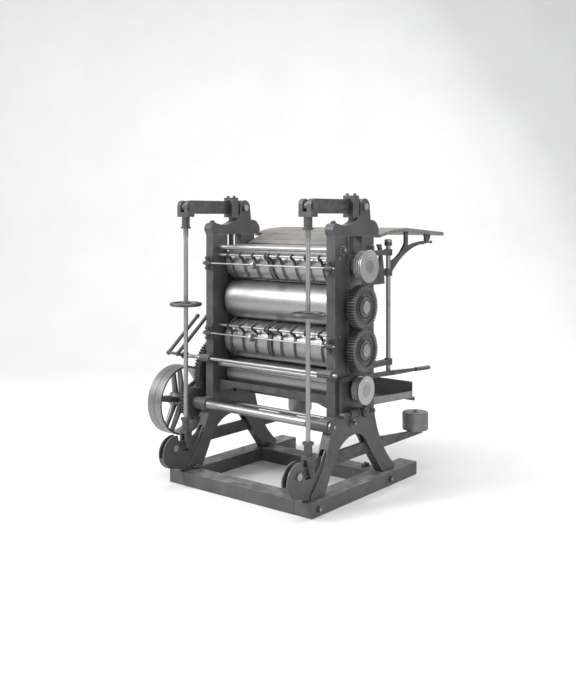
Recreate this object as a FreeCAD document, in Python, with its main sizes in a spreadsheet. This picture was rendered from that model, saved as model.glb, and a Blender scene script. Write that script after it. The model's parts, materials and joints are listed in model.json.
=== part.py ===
import FreeCAD, Part
import math
import os
import re
from FreeCAD import Placement, Rotation, Vector

# Four-roll press with weighted levers. Millimetres. +X is along the rolls
# towards the gear side, -Y is the working side with the two handwheels,
# +Z is up. The origin is on the floor under the middle of the rear beam.

doc = FreeCAD.newDocument("RollPress")
sheet = doc.addObject("Spreadsheet::Sheet", "Sizes")

SIZES = [
    # base frame
    ("base_left", 64), ("base_right", 30), ("base_depth", 1080),
    ("base_height", 80), ("beam_width", 122), ("cross_rear_y", 170),
    # side frames
    ("frame_inner", 435), ("frame_thick", 58), ("frame_front", -290),
    ("frame_rear", 100), ("frame_top", 1490), ("foot_front", -503),
    ("foot_rear", 322), ("foot_toe", 119), ("waist_height", 490),
    ("arch_top", 361), ("horn_recess", 8), ("horn_radius", 98),
    ("shaft_boss", 90), ("shift_boss", 36), ("boss_wall", 12),
    ("bead_width", 14), ("bead_high", 6), ("bead_bottom", 720),
    ("window_width", 130), ("window_bottom", 560),
    # rolls
    ("roll_y", -92), ("roll4_height", 620), ("roll1_radius", 109),
    ("roll2_radius", 121.5), ("roll3_radius", 121.5), ("roll4_radius", 102),
    ("nip_gap", 1.5), ("face_gap", 27), ("journal_radius", 45),
    ("seat_radius", 35), ("running_fit", 0.05),
    # gears and discs on the roll ends
    ("gear_gap", 22), ("gear_width", 50), ("roll_teeth", 49),
    ("disc4_radius", 81), ("disc1_radius", 93), ("disc_width", 56),
    ("disc1_extra", 22), ("ring_inner", 67), ("ring_outer", 72),
    # drive
    ("drive_module", 6), ("drive_teeth", 69), ("pinion_teeth", 30),
    ("drive_gear_width", 42), ("drive_gear_gap", 54), ("shaft_ahead", 243),
    ("shaft_radius", 25), ("pulley_radius", 215), ("pulley_width", 56),
    ("pulley_reach", 134), ("pulley_gap", 3), ("spoke_count", 5),
    # loading levers
    ("lever_height", 1660), ("lever_depth", 82), ("lever_thick", 24),
    ("ear_y", 10), ("rod_y", -495), ("lever_slot", 26),
    ("lever_pin_radius", 13), ("rod_radius", 13), ("clevis_width", 84),
    ("clevis_depth", 62), ("clevis_slot", 30), ("stirrup_depth", 56),
    ("spindle_radius", 16), ("wheel_height", 1075), ("wheel_radius", 97),
    ("low_pin_height", 233), ("fulcrum_arm", 110), ("low_thick", 22),
    ("low_depth", 57), ("low_drop", 13), ("low_slot", 26),
    ("low_tail", 690), ("weight_y", 620), ("weight_radius", 82),
    ("weight_tall", 110), ("link_play", 0.8), ("eye_play", 2.2),
    # sheet guides and cross rods
    ("stay_radius", 11), ("top_stay_radius", 16), ("top_stay_y", -230),
    ("top_stay_height", 1413), ("low_stay_y", -128),
    ("low_stay_height", 432), ("tray_stay_y", 70),
    ("board_stay_y", 60), ("finger_back", 50), ("finger1_rise", 44.5),
    ("finger3_rise", 86),
    ("finger_shaft_radius", 8), ("finger_gap", 5), ("finger_thick", 6),
    ("finger_width", 7), ("finger_pitch", 100), ("front_rod_ahead", 19),
    ("front_rod_radius", 5), ("front1_drop", 50), ("front3_drop", 46),
    ("guide_radius", 15), ("guide_height", 690), ("shift_ahead", 22),
    ("shift_height", 727), ("shift_radius", 11),
    # tables
    ("board_gap", 15), ("board_thick", 20), ("table_top", 1533),
    ("table_fall", 32), ("table_thick", 24), ("table_front", 470),
    ("table_rear", 935), ("tray_sheet", 4), ("tray_front", 30),
    ("tray_rear", 635), ("tray_height", 485), ("tray_fall", 36),
    ("tray_wall", 43), ("tray_back", 102), ("post_y", 288),
    ("post_inset", 20), ("post_radius", 14), ("post_bottom", 648),
    ("post_top", 1462),
    # hand lever and its crank
    ("hand_height", 662), ("hand_rise", 31), ("hand_thick", 10),
    ("hand_ahead", 544), ("hand_behind", 443), ("grip_length", 166),
    ("crank_arm", 167), ("crank_height", 500),
]

for row, (alias, number_value) in enumerate(SIZES, start=1):
    sheet.set("A%d" % row, alias)
    sheet.set("B%d" % row, str(number_value))
    sheet.setAlias("B%d" % row, alias)
doc.recompute()
ALIASES = {alias for alias, _ in SIZES}

# Places that follow from the sizes, as expressions on the sheet.
OUTER = "(frame_inner + frame_thick)"
MID = "(frame_inner + frame_thick / 2)"
ROLL4_Z = "roll4_height"
ROLL3_Z = "(roll4_height + roll4_radius + roll3_radius + nip_gap)"
ROLL2_Z = "(%s + roll3_radius + roll2_radius + nip_gap)" % ROLL3_Z
ROLL1_Z = "(%s + roll2_radius + roll1_radius + nip_gap)" % ROLL2_Z
SHAFT_Y = "(roll_y - shaft_ahead)"
CENTRES = "(drive_module * (drive_teeth + pinion_teeth) / 2)"
SHAFT_Z = "(roll4_height - sqrt(%s ^ 2 - shaft_ahead ^ 2))" % CENTRES
FULCRUM_Y = "(rod_y - fulcrum_arm)"
WINDOW_FRONT = "(roll_y - window_width / 2)"
WINDOW_REAR = "(roll_y + window_width / 2)"
ORIGIN_Y = "(cross_rear_y + beam_width / 2)"
FACE_HALF = "(frame_inner - face_gap)"
GEAR_X = "(%s + gear_gap)" % OUTER
PULLEY_X = "(%s + pulley_reach)" % OUTER
POST_X = "(%s - post_inset)" % OUTER
BOARD_HALF = "(frame_inner - board_gap)"
FINGER_Y = "(frame_front + finger_back)"
FINGER1_Z = "(%s + finger1_rise)" % ROLL1_Z
FINGER3_Z = "(%s + finger3_rise)" % ROLL3_Z
FRONT_ROD_Y = "(frame_front - front_rod_ahead)"
FRONT1_Z = "(%s - front1_drop)" % FINGER1_Z
FRONT3_Z = "(%s - front3_drop)" % FINGER3_Z
SHIFT_Y = "(frame_front - shift_ahead)"
TRAY_STAY_Z = ("(tray_height - tray_fall * (tray_stay_y - tray_front)"
               " / (tray_rear - tray_front) - stay_radius - 0.5)")
BOARD_STAY_Z = "(table_top - 81 - board_thick - 1.08 * stay_radius - 0.5)"
HAND_TIP_Z = "(hand_height + hand_rise)"
LEVER_UNDER = "(lever_height - lever_depth / 2)"
LOW_UNDER = "(low_pin_height - low_drop)"
BLOCK_TOP = "(%s + 60)" % ROLL1_Z
HAND_X = "(%s + 2)" % OUTER
CRANK_Y = "(post_y - hand_ahead + crank_arm)"
LINK_X = "(%s + hand_thick + 1)" % HAND_X
LINK_THICK = 8
FORK_OUTER = 56
SHARP = 0.01


def number(text):
    """The value in millimetres of an expression on the sheet."""
    return float(sheet.evalExpression(str(text)))


def bound(text):
    """The same expression written for another object."""
    return re.sub(r"[a-z][a-z0-9_]*", lambda hit: "Sizes." + hit.group()
                  if hit.group() in ALIASES else hit.group(), str(text))


def bind(obj, prop, text):
    obj.setExpression(prop, bound(text))


def put(obj, x, y, z):
    for axis, text in zip("xyz", (x, y, z)):
        bind(obj, "Placement.Base." + axis, text)
    return obj


def box(name, x, y, z, along, deep, high):
    """A block from its low corner."""
    obj = doc.addObject("Part::Box", name)
    bind(obj, "Length", along)
    bind(obj, "Width", deep)
    bind(obj, "Height", high)
    return put(obj, x, y, z)


TURNS = {
    "X": Rotation(Vector(0, 1, 0), 90),
    "Y": Rotation(Vector(1, 0, 0), -90),
    "Z": Rotation(),
}


def rod(name, axis, x, y, z, radius, length):
    """A round bar that starts at a point and runs along an axis."""
    obj = doc.addObject("Part::Cylinder", name)
    obj.Placement = Placement(Vector(), TURNS[axis])
    bind(obj, "Radius", radius)
    bind(obj, "Height", length)
    return put(obj, x, y, z)


def join(name, pieces):
    obj = doc.addObject("Part::MultiFuse", name)
    obj.Shapes = pieces
    return obj


def group(name, pieces):
    obj = doc.addObject("Part::Compound", name)
    obj.Links = pieces
    return obj


def cut(name, base, tools):
    obj = doc.addObject("Part::Cut", name)
    obj.Base = base
    obj.Tool = tools[0] if len(tools) == 1 else join(name + "_cuts", tools)
    return obj


def sketch_on(body, role, offset):
    """A sketch on one of the body's own planes, moved along its normal."""
    sketch = body.newObject("Sketcher::SketchObject", body.Name + "_sketch")
    planes = [item for item in body.Origin.OriginFeatures if item.Role == role]
    sketch.AttachmentSupport = (planes[0], [""])
    sketch.MapMode = "FlatFace"
    bind(sketch, "AttachmentOffset.Base.z", offset)
    return sketch


def draw(sketch, outline):
    """Lines through plain points; a pair of points is an arc's middle and end."""
    start = Vector(*outline[0], 0)
    here = start
    for item in outline[1:] + [outline[0]]:
        if isinstance(item[0], tuple):
            middle = Vector(*item[0], 0)
            there = Vector(*item[1], 0)
            sketch.addGeometry(Part.Arc(here, middle, there), False)
        else:
            there = Vector(*item, 0)
            if (there - here).Length > SHARP:
                sketch.addGeometry(Part.LineSegment(here, there), False)
        here = there


def circle(sketch, across, up, radius):
    centre = Vector(across, up, 0)
    sketch.addGeometry(Part.Circle(centre, Vector(0, 0, 1), radius), False)


def pad(body, outline, start, depth, role="YZ_Plane"):
    sketch = sketch_on(body, role, start)
    draw(sketch, outline)
    feature = body.newObject("PartDesign::Pad", body.Name + "_pad")
    feature.Profile = sketch
    bind(feature, "Length", depth)
    sketch.Visibility = False
    return feature


def pocket(body, start, depth, outline=None, circles=(), role="YZ_Plane"):
    """Cuts from start to start + depth along the plane's normal."""
    sketch = sketch_on(body, role, "%s + %s" % (start, depth))
    if outline:
        draw(sketch, outline)
    for across, up, radius in circles:
        circle(sketch, across, up, radius)
    feature = body.newObject("PartDesign::Pocket", body.Name + "_pocket")
    feature.Profile = sketch
    bind(feature, "Length", depth)
    return feature


def new_body(name, x=0, y=0, z=0):
    body = doc.addObject("PartDesign::Body", name)
    put(body, x, y, z)
    return body


def turned(name, axis, steps, x, y, z, bore=0):
    """A lathe piece; each step is its start, its end and its radius."""
    body = new_body(name, x, y, z)
    sketch = sketch_on(body, "XZ_Plane", 0)
    points = []
    for low, high, radius in steps:
        points += [(low, radius), (high, radius)]
    points += [(steps[-1][1], bore), (steps[0][0], bore)]
    if axis == "Z":
        points = [(up, along) for along, up in points]
    draw(sketch, points)
    feature = body.newObject("PartDesign::Revolution", name + "_turn")
    feature.Profile = sketch
    feature.ReferenceAxis = (sketch, ["H_Axis" if axis == "X" else "V_Axis"])
    feature.Angle = 360
    return body


def plate(name, outline, x, depth):
    """A flat piece with its outline in the YZ plane."""
    body = new_body(name, x)
    pad(body, outline, 0, depth)
    return body


def rectangle(y_low, z_low, y_high, z_high):
    return [(y_low, z_low), (y_high, z_low), (y_high, z_high), (y_low, z_high)]


def side_start(side, inner, depth):
    """Low X of a piece between inner and inner + depth on one side."""
    return inner if side > 0 else "-(%s) - (%s)" % (inner, depth)


# Base ---------------------------------------------------------------------

def base():
    left = "-(%s + base_left)" % OUTER
    right = "%s + base_right - beam_width" % OUTER
    side = []
    for name, x in (("left", left), ("right", right)):
        side.append(box("beam_" + name, x, "-base_depth / 2", 0,
                        "beam_width", "base_depth", "base_height"))
    across = []
    for name, y in (("front", "-base_depth / 2"), ("rear", "cross_rear_y")):
        across.append(box("beam_" + name, left + " + beam_width", y, 0,
                          "2 * %s + base_left + base_right - 2 * beam_width"
                          % OUTER, "beam_width", "base_height"))
    return {"base_side_beams": group("side_beams", side),
            "base_cross_beams": group("cross_beams", across)}


# Side frames --------------------------------------------------------------

def frame_outline():
    """Column, splayed feet and the pointed arch between them."""
    front = number("frame_front")
    rear = number("frame_rear")
    top = number("frame_top")
    waist = number("waist_height")
    floor = number("base_height")
    toe = number("foot_front")
    heel = number("foot_rear")
    inside = toe + number("foot_toe")
    crown = number("arch_top")
    middle = number("roll_y") - 18
    return [
        (front, top), (front, waist), (front - 98, waist - 236),
        ((toe + 68, floor + 105), (toe, floor + 33)), (toe, floor),
        (inside, floor), (inside + 84, floor + 158),
        ((middle - 105, crown - 31), (middle, crown)),
        ((middle + 90, crown - 16), (middle + 140, crown - 71)),
        (heel - 122, floor), (heel, floor), (heel, floor + 28),
        ((rear + 65, waist - 190), (rear, waist + 10)), (rear, top),
    ]


def horn_outline():
    """Scroll in front of the foot that carries the lower lever's pin."""
    pin_y = number(FULCRUM_Y)
    pin_z = number("low_pin_height")
    rod_y = number("rod_y")
    curl = number("horn_radius")
    middle_y = pin_y + 5
    middle_z = pin_z - 26
    floor = number("base_height")
    toe = number("foot_front")
    return [
        (rod_y + 165, pin_z + 90), (rod_y + 128, pin_z + 90),
        (rod_y + 86, pin_z + 32), (rod_y + 41, pin_z - 12),
        (rod_y - 4, pin_z - 33), (rod_y - 48, pin_z - 32),
        (rod_y - 72, pin_z - 2), (middle_y + 20, middle_z + curl - 2),
        ((middle_y - curl, middle_z), (middle_y, middle_z - curl)),
        (toe, floor), (toe + 87, floor), (toe + 173, floor + 120),
    ]


def lug_outline(middle_y, middle_z, radius):
    """A round boss carried on the front of the column."""
    back = number("frame_front") + 30
    return [
        (back, middle_z - radius), (back, middle_z + radius),
        (middle_y, middle_z + radius),
        ((middle_y - radius, middle_z), (middle_y, middle_z - radius)),
    ]


def side_frame(name, side):
    body = new_body(name, side_start(side, "frame_inner", "frame_thick"))
    pad(body, frame_outline(), 0, "frame_thick")
    pad(body, horn_outline(), "horn_recess", "frame_thick - 2 * horn_recess")
    shaft = (number(SHAFT_Y), number(SHAFT_Z))
    shift = (number(SHIFT_Y), number("shift_height"))
    wall = number("boss_wall")
    for middle, radius, boss in (
            (shaft, number("shaft_radius") + wall, "shaft_boss"),
            (shift, number("shift_radius") + wall, "shift_boss")):
        reach = boss if side > 0 else boss + " / 2"
        pad(body, lug_outline(*middle, radius), 0, "frame_thick")
        pad(body, disc_outline(*middle, radius), "-" + reach, reach)
    edge = number(WINDOW_FRONT)
    bead = rectangle(edge - number("bead_width"), number("bead_bottom"),
                     edge, number("frame_top"))
    pad(body, bead, "frame_thick" if side > 0 else "-bead_high", "bead_high")
    window = rectangle(edge, number("window_bottom"),
                       number(WINDOW_REAR), number("frame_top") + 10)
    pocket(body, "-bead_high", "frame_thick + 2 * bead_high", window)
    slot_in = "(frame_thick - low_slot) / 2"
    low = number(LOW_UNDER)
    high = number("low_pin_height + low_depth")
    horn_slot = rectangle(number(FULCRUM_Y) - 140, low - 32,
                          number("roll_y") - 68, high + 35)
    pocket(body, slot_in, "low_slot", horn_slot)
    heel_slot = rectangle(number("roll_y") + 32, low - 15,
                          number("foot_rear") + 40, high + 48)
    pocket(body, slot_in, "low_slot", heel_slot)
    fit = number("running_fit")
    pin = number("lever_pin_radius") + fit
    stay = number("stay_radius") + fit
    finger = number("finger_shaft_radius") + fit
    finger_y = number(FINGER_Y)
    bores = [
        shaft + (number("shaft_radius") + fit,),
        shift + (number("shift_radius") + fit,),
        (number(FULCRUM_Y), number("low_pin_height"), pin),
        (number("low_stay_y"), number("low_stay_height"), stay),
        (number("tray_stay_y"), number(TRAY_STAY_Z), stay),
        (number("board_stay_y"), number(BOARD_STAY_Z), stay),
        (number("top_stay_y"), number("top_stay_height"),
         number("top_stay_radius") + fit),
        (finger_y, number(FINGER1_Z), finger),
        (finger_y, number(FINGER3_Z), finger),
        (finger_y, number("guide_height"), finger),
        (number(CRANK_Y), number("crank_height"), 12 + fit),
    ]
    pocket(body, "-shaft_boss", "frame_thick + shaft_boss", circles=bores)
    return body


def disc_outline(middle_y, middle_z, radius):
    """A full circle as two arcs."""
    left = (middle_y - radius, middle_z)
    right = (middle_y + radius, middle_z)
    return [left, ((middle_y, middle_z + radius), right),
            ((middle_y, middle_z - radius), left)]


def cap_outline():
    """Crosshead: round nose, rising back, ear for the lever, rear lobe."""
    front = number("frame_front")
    top = number("frame_top")
    ear = number("ear_y")
    pin = number("lever_height")
    rear = number("frame_rear")
    return [
        (front, top), (front - 16, top + 26),
        ((front - 8, top + 62), (front + 26, top + 74)),
        (front + 60, top + 66),
        ((ear - 130, top + 72), (ear - 52, pin - 50)),
        (ear - 48, pin),
        ((ear, pin + 48), (ear + 48, pin)),
        (ear + 58, top + 92),
        ((rear + 38, top + 66), (rear + 55, top + 22)), (rear + 40, top),
    ]


def cap(name, side):
    body = new_body(name, side_start(side, "frame_inner", "frame_thick"))
    pad(body, cap_outline(), 0, "frame_thick")
    slot_in = "(frame_thick - lever_slot) / 2"
    slot = rectangle(number("roll_y") - 60, number("frame_top") + 108,
                     number("ear_y") + 120, number("lever_height") + 80)
    pocket(body, slot_in, "lever_slot", slot)
    fit = number("running_fit")
    pocket(body, 0, "frame_thick", circles=[
        (number("ear_y"), number("lever_height"),
         number("lever_pin_radius") + fit)])
    sketch = sketch_on(body, "XY_Plane", "frame_top + 120")
    circle(sketch, number("frame_thick") / 2, number("roll_y"),
           number("spindle_radius") + fit)
    bore = body.newObject("PartDesign::Pocket", name + "_bore")
    bore.Profile = sketch
    bore.Length = 140
    return body


def bearing_blocks(name, side):
    """Four stacked housings in the frame window, each bored for a journal."""
    levels = [ROLL4_Z, ROLL3_Z, ROLL2_Z, ROLL1_Z]
    edges = ["window_bottom"]
    for lower, upper in zip(levels, levels[1:]):
        edges.append("(%s + %s) / 2" % (lower, upper))
    edges.append(BLOCK_TOP)
    thick = "frame_thick + 4"
    start = side_start(side, "frame_inner - 4", thick)
    blocks = []
    for index, level in enumerate(levels):
        tag = "%s_%d" % (name, 4 - index)
        block = box(tag + "_block", start, WINDOW_FRONT, edges[index], thick,
                    "window_width", "%s - (%s)" % (edges[index + 1],
                                                   edges[index]))
        bore = rod(tag + "_bore", "X", start, "roll_y", level,
                   "journal_radius + running_fit", thick)
        blocks.append(cut(tag, block, [bore]))
    return group(name, blocks)


# Rolls and roll ends -------------------------------------------------------

def roll(name, height, radius, left_end, right_end):
    face = number(FACE_HALF)
    neck = number("frame_inner + frame_thick") - 1
    journal = number("journal_radius")
    seat = number("seat_radius")
    return turned(name, "X", [
        (-left_end, -neck, seat), (-neck, -face, journal),
        (-face, face, number(radius)), (face, neck, journal),
        (neck, right_end, seat)], 0, "roll_y", height)


def rolls():
    plain = number("frame_inner + frame_thick") + 18
    geared = number(GEAR_X + " + gear_width") + 6
    disc = number(GEAR_X + " + disc_width") + 4
    far = disc + number("disc1_extra")
    driven = number("frame_inner + frame_thick + drive_gear_gap"
                    " + drive_gear_width") + 8
    return {
        "roll_1": roll("roll_1", ROLL1_Z, "roll1_radius", plain, far),
        "roll_2": roll("roll_2", ROLL2_Z, "roll2_radius", plain, geared),
        "roll_3": roll("roll_3", ROLL3_Z, "roll3_radius", plain, geared),
        "roll_4": roll("roll_4", ROLL4_Z, "roll4_radius", driven, disc),
    }


def involute_point(base, angle_out):
    """Distance and turn of an involute point unrolled by an angle."""
    return base * math.hypot(1, angle_out), angle_out - math.atan(angle_out)


def gear_face(teeth, module, phase):
    """Spur gear outline about the origin, with a tooth at the phase angle."""
    pitch = teeth * module / 2
    base = pitch * math.cos(math.radians(20))
    root = pitch - 1.2 * module
    tip = pitch + 0.9 * module
    slack = 0.04 * module
    _, pitch_turn = involute_point(base, math.tan(math.radians(20)))
    half = (math.pi * module / 2 - slack) / (2 * pitch)
    flank = []
    for share in (0, 0.35, 0.7, 1):
        reach = max(root, base) + share * (tip - max(root, base))
        roll_out = math.sqrt(max(0, (reach / base) ** 2 - 1))
        far, turn = involute_point(base, roll_out)
        flank.append((far, half + pitch_turn - turn))
    points = []
    for tooth in range(teeth):
        centre = phase + tooth * 2 * math.pi / teeth
        side = [(root, flank[0][1])] + flank
        for far, turn in side:
            points.append((far, centre - turn))
        for far, turn in reversed(side):
            points.append((far, centre + turn))
    wire = [Vector(0, far * math.cos(a), far * math.sin(a)) for far, a in points]
    return Part.Face(Part.makePolygon(wire + wire[:1]))


def ring_cut(shape, x, depth, inner, outer):
    """Sinks a round channel into a face."""
    along = Vector(1, 0, 0)
    channel = Part.makeCylinder(outer, depth, Vector(x, 0, 0), along)
    core = Part.makeCylinder(inner, depth, Vector(x, 0, 0), along)
    return shape.cut(channel.cut(core))


def spur_gear(name, teeth, module, width, bore, phase, dish):
    shape = gear_face(teeth, module, phase).extrude(Vector(width, 0, 0))
    pitch = teeth * module / 2
    if dish:
        rim = pitch - 4.5 * module
        hub = bore + 11
        inner = number("ring_inner")
        outer = number("ring_outer")
        for x in (0, width - dish):
            shape = ring_cut(shape, x, dish, hub, inner)
            shape = ring_cut(shape, x, dish, outer, rim)
    shape = shape.cut(Part.makeCylinder(bore, width + 2, Vector(-1, 0, 0),
                                        Vector(1, 0, 0)))
    obj = doc.addObject("Part::Feature", name)
    obj.Shape = shape
    return obj


def roll_gears():
    teeth = int(number("roll_teeth"))
    module = (number(ROLL2_Z) - number(ROLL3_Z)) / teeth
    bore = number("seat_radius + running_fit")
    made = {}
    for index, level in ((2, ROLL2_Z), (3, ROLL3_Z)):
        # The upper gear turns half a tooth so that the pair meshes.
        phase = math.pi / 2 if teeth % 2 or index == 3 else (
            math.pi / 2 + math.pi / teeth)
        gear = spur_gear("roll_gear_%d" % index, teeth, module,
                         number("gear_width"), bore, phase, 9)
        made["roll_gear_%d" % index] = put(gear, GEAR_X, "roll_y", level)
    return made


def end_disc(name, level, radius, start):
    """Grooved collar with a bright face plate on a roll end."""
    wide = number("disc_width")
    step = wide / 7
    steps = []
    for index in range(6):
        share = 0.93 if index % 2 == 0 else 0.84
        steps.append((index * step, (index + 1) * step, share * radius))
    steps.append((6 * step, wide, radius))
    return turned(name, "X", steps, start, "roll_y", level,
                  bore=number("seat_radius + running_fit"))


# Drive ----------------------------------------------------------------------

def drive():
    """Shaft, pinion, large gear and the two belt pulleys on the left."""
    wide = number("drive_gear_width")
    module = number("drive_module")
    line = math.atan2(number(SHAFT_Z) - number("roll4_height"),
                      number(SHAFT_Y) - number("roll_y"))
    start = "-(%s + drive_gear_gap + drive_gear_width)" % OUTER
    gear = spur_gear("drive_gear", int(number("drive_teeth")), module, wide,
                     number("seat_radius + running_fit"), line, 10)
    put(gear, start, "roll_y", "roll4_height")
    teeth = int(number("pinion_teeth"))
    gap = line + math.pi + math.pi / teeth
    pinion = spur_gear("drive_pinion", teeth, module, wide + 8,
                       number("shaft_radius + running_fit"), gap, 0)
    put(pinion, start + " - 4", SHAFT_Y, SHAFT_Z)
    left = number(PULLEY_X + " + 2 * pulley_width + pulley_gap") + 16
    right = number(OUTER) + 16
    shaft = turned("drive_shaft", "X", [
        (-left, right, number("shaft_radius"))], 0, SHAFT_Y, SHAFT_Z)
    return {"drive_gear": gear, "drive_pinion": pinion, "drive_shaft": shaft}


def pulley(name, start):
    """Flat-belt pulley: rim, round hub and tapered spokes."""
    wide = number("pulley_width")
    radius = number("pulley_radius")
    along = Vector(1, 0, 0)
    rim = Part.makeCylinder(radius, wide, Vector(), along)
    rim = rim.cut(Part.makeCylinder(radius - 12, wide, Vector(), along))
    hub = number("shaft_radius") + 20
    shape = rim.fuse(Part.makeCylinder(hub, wide, Vector(), along))
    count = int(number("spoke_count"))
    for index in range(count):
        spoke = Part.makeCone(20, 14, radius - hub - 2,
                              Vector(wide / 2, 0, hub - 5), Vector(0, 0, 1))
        spoke.rotate(Vector(), along, index * 360 / count + 8)
        shape = shape.fuse(spoke)
    bore = number("shaft_radius + running_fit")
    shape = shape.cut(Part.makeCylinder(bore, wide, Vector(), along))
    obj = doc.addObject("Part::Feature", name)
    obj.Shape = shape
    return put(obj, start, SHAFT_Y, SHAFT_Z)


# Loading levers -------------------------------------------------------------

def upper_lever(name, side):
    """Flat bar from the ear pin to the clevis, with a thinner tongue."""
    ear = number("ear_y")
    tip = number("rod_y")
    middle = number("lever_height")
    half = number("lever_depth") / 2
    tongue = 24
    outline = [
        (tip, middle - tongue), (tip + 34, middle - tongue),
        (tip + 46, middle - half), (ear, middle - half),
        ((ear + half, middle), (ear, middle + half)),
        (tip + 46, middle + half), (tip + 34, middle + tongue),
        (tip, middle + tongue), ((tip - tongue, middle),
                                 (tip, middle - tongue)),
    ]
    body = new_body(name, side_middle(side, "lever_thick"))
    pad(body, outline, 0, "lever_thick")
    fit = number("lever_pin_radius + running_fit")
    pocket(body, 0, "lever_thick",
           circles=[(ear, middle, fit), (tip, middle, fit)])
    return body


def side_middle(side, depth):
    """Low X of a piece centred on a side frame."""
    return "%d * %s - (%s) / 2" % (side, MID, depth)


def headed_pin(name, side, y, z, half):
    """Pin with a thin round head at each end, centred on a side frame."""
    radius = number("lever_pin_radius")
    return turned(name, "X", [
        (-half - 10, -half, radius + 7), (-half, half, radius),
        (half, half + 10, radius + 7)], "%d * %s" % (side, MID), y, z)


def stirrup(name, side):
    """Closed strap round the upper lever with a spindle below it."""
    deep = "stirrup_depth"
    front = "roll_y - stirrup_depth / 2"
    low = "%s - 22" % LEVER_UNDER
    strap = box(name + "_strap", side_middle(side, 72), front, low, 72, deep,
                "lever_depth + 44")
    hole = box(name + "_hole", side_middle(side, 32), front,
               "%s - 0.6" % LEVER_UNDER, 32, deep, "lever_depth + 5")
    spindle = rod(name + "_spindle", "Z", "%d * %s" % (side, MID), "roll_y",
                  BLOCK_TOP, "spindle_radius",
                  "%s - %s + 4" % (low, BLOCK_TOP))
    pieces = [cut(name + "_loop", strap, [hole]), spindle]
    for shift in (-26, 26):
        pieces.append(rod("%s_bolt_%d" % (name, shift), "Z",
                          "%d * %s + %d" % (side, MID, shift), "roll_y",
                          low + " + lever_depth + 42", 9, 14))
    return join(name, pieces)


def clevis(name, side):
    """Domed fork with its pin, and the sleeve that takes the rod."""
    middle = "%d * %s" % (side, MID)
    front = "rod_y - clevis_depth / 2"
    block = box(name + "_block", side_middle(side, "clevis_width"), front,
                "lever_height - 60", "clevis_width", "clevis_depth", 68)
    crown = rod(name + "_crown", "X", side_middle(side, "clevis_width"),
                "rod_y", "lever_height + 8", "clevis_depth / 2",
                "clevis_width")
    sleeve = rod(name + "_sleeve", "Z", middle, "rod_y", "lever_height - 118",
                 24, 66)
    collar = rod(name + "_collar", "Z", middle, "rod_y", "lever_height - 130",
                 30, 12)
    slot = box(name + "_slot", side_middle(side, "clevis_slot"),
               front, "lever_height - 32", "clevis_slot", "clevis_depth", 90)
    bore = rod(name + "_bore", "Z", middle, "rod_y", "lever_height - 140",
               "rod_radius + 2 + running_fit", 90)
    head = cut(name + "_head", join(name + "_solid",
                                    [block, crown, sleeve, collar]),
               [slot, bore])
    half = number("clevis_width") / 2
    radius = number("lever_pin_radius")
    pin = turned(name + "_pin", "X", [
        (-half - 6, -half, radius + 7), (-half, half, radius),
        (half, half + 6, radius + 7)], middle, "rod_y", "lever_height")
    return join(name, [head, pin])


def tension_rod(name, side):
    """Round rod with a thicker threaded length at the top."""
    low = number("low_pin_height") + 92
    top = number("lever_height") - 50
    thread = number("lever_height") - 180
    radius = number("rod_radius")
    return turned(name, "Z", [
        (low, thread, radius), (thread, top, radius + 2)],
        "%d * %s" % (side, MID), "rod_y", 0)


def handwheel(name, side):
    """Round rim on four spokes and a hub that runs on the rod."""
    radius = number("wheel_radius")
    thick = 11
    shape = Part.makeTorus(radius - thick, thick)
    shape = shape.fuse(Part.makeCylinder(26, 26, Vector(0, 0, -13)))
    for index in range(4):
        spoke = Part.makeCylinder(7, radius - thick - 20, Vector(20, 0, 0),
                                  Vector(1, 0, 0))
        spoke.rotate(Vector(), Vector(0, 0, 1), index * 90 + 30)
        shape = shape.fuse(spoke)
    bore = number("rod_radius + running_fit")
    shape = shape.cut(Part.makeCylinder(bore, 40, Vector(0, 0, -20)))
    obj = doc.addObject("Part::Feature", name)
    obj.Shape = shape
    return put(obj, "%d * %s" % (side, MID), "rod_y", "wheel_height")


def rod_fork(name, side):
    """Sleeve and fork at the foot of the rod, with the fork's pin."""
    middle = "%d * %s" % (side, MID)
    sleeve = rod(name + "_sleeve", "Z", middle, "rod_y", "low_pin_height + 78",
                 23, 72)
    collar = rod(name + "_collar", "Z", middle, "rod_y",
                 "low_pin_height + 146", 31, 12)
    block = box(name + "_block", side_middle(side, FORK_OUTER), "rod_y - 24",
                "low_pin_height", FORK_OUTER, 48, 86)
    toe = rod(name + "_toe", "X", side_middle(side, FORK_OUTER), "rod_y",
              "low_pin_height", 24, FORK_OUTER)
    slot = box(name + "_slot", side_middle(side, "low_thick + 4"),
               "rod_y - 30", "low_pin_height - 40", "low_thick + 4", 60, 108)
    bore = rod(name + "_bore", "Z", middle, "rod_y", "low_pin_height + 92",
               "rod_radius + running_fit", 80)
    head = cut(name + "_head", join(name + "_solid",
                                    [sleeve, collar, block, toe]),
               [slot, bore])
    pin = rod(name + "_pin", "X", side_middle(side, FORK_OUTER + 4), "rod_y",
              "low_pin_height", 11, FORK_OUTER + 4)
    return join(name, [head, pin])


def lower_lever(name, side):
    """Long bar from the horn through both legs to the weight."""
    start = number(FULCRUM_Y)
    middle = number("low_pin_height")
    under = number(LOW_UNDER)
    high = number("low_pin_height + low_depth")
    seat_y = number("weight_y - weight_radius") - 4
    seat_z = under + 36
    tail = number("low_tail")
    eye = 28
    rise = number("rod_y") + 40
    outline = [
        (start, middle - eye), (rise, middle - eye), (rise + 60, under),
        (tail, under), (tail, seat_z), (seat_y, seat_z),
        (rise + 640, high), (rise + 60, high), (rise, middle + eye),
        (start, middle + eye), ((start - eye, middle),
                                (start, middle - eye)),
    ]
    body = new_body(name, side_middle(side, "low_thick"))
    pad(body, outline, 0, "low_thick")
    pocket(body, 0, "low_thick", circles=[
        (start, middle, number("lever_pin_radius + running_fit")),
        (number("rod_y"), middle, 11 + number("link_play"))])
    return body


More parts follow.
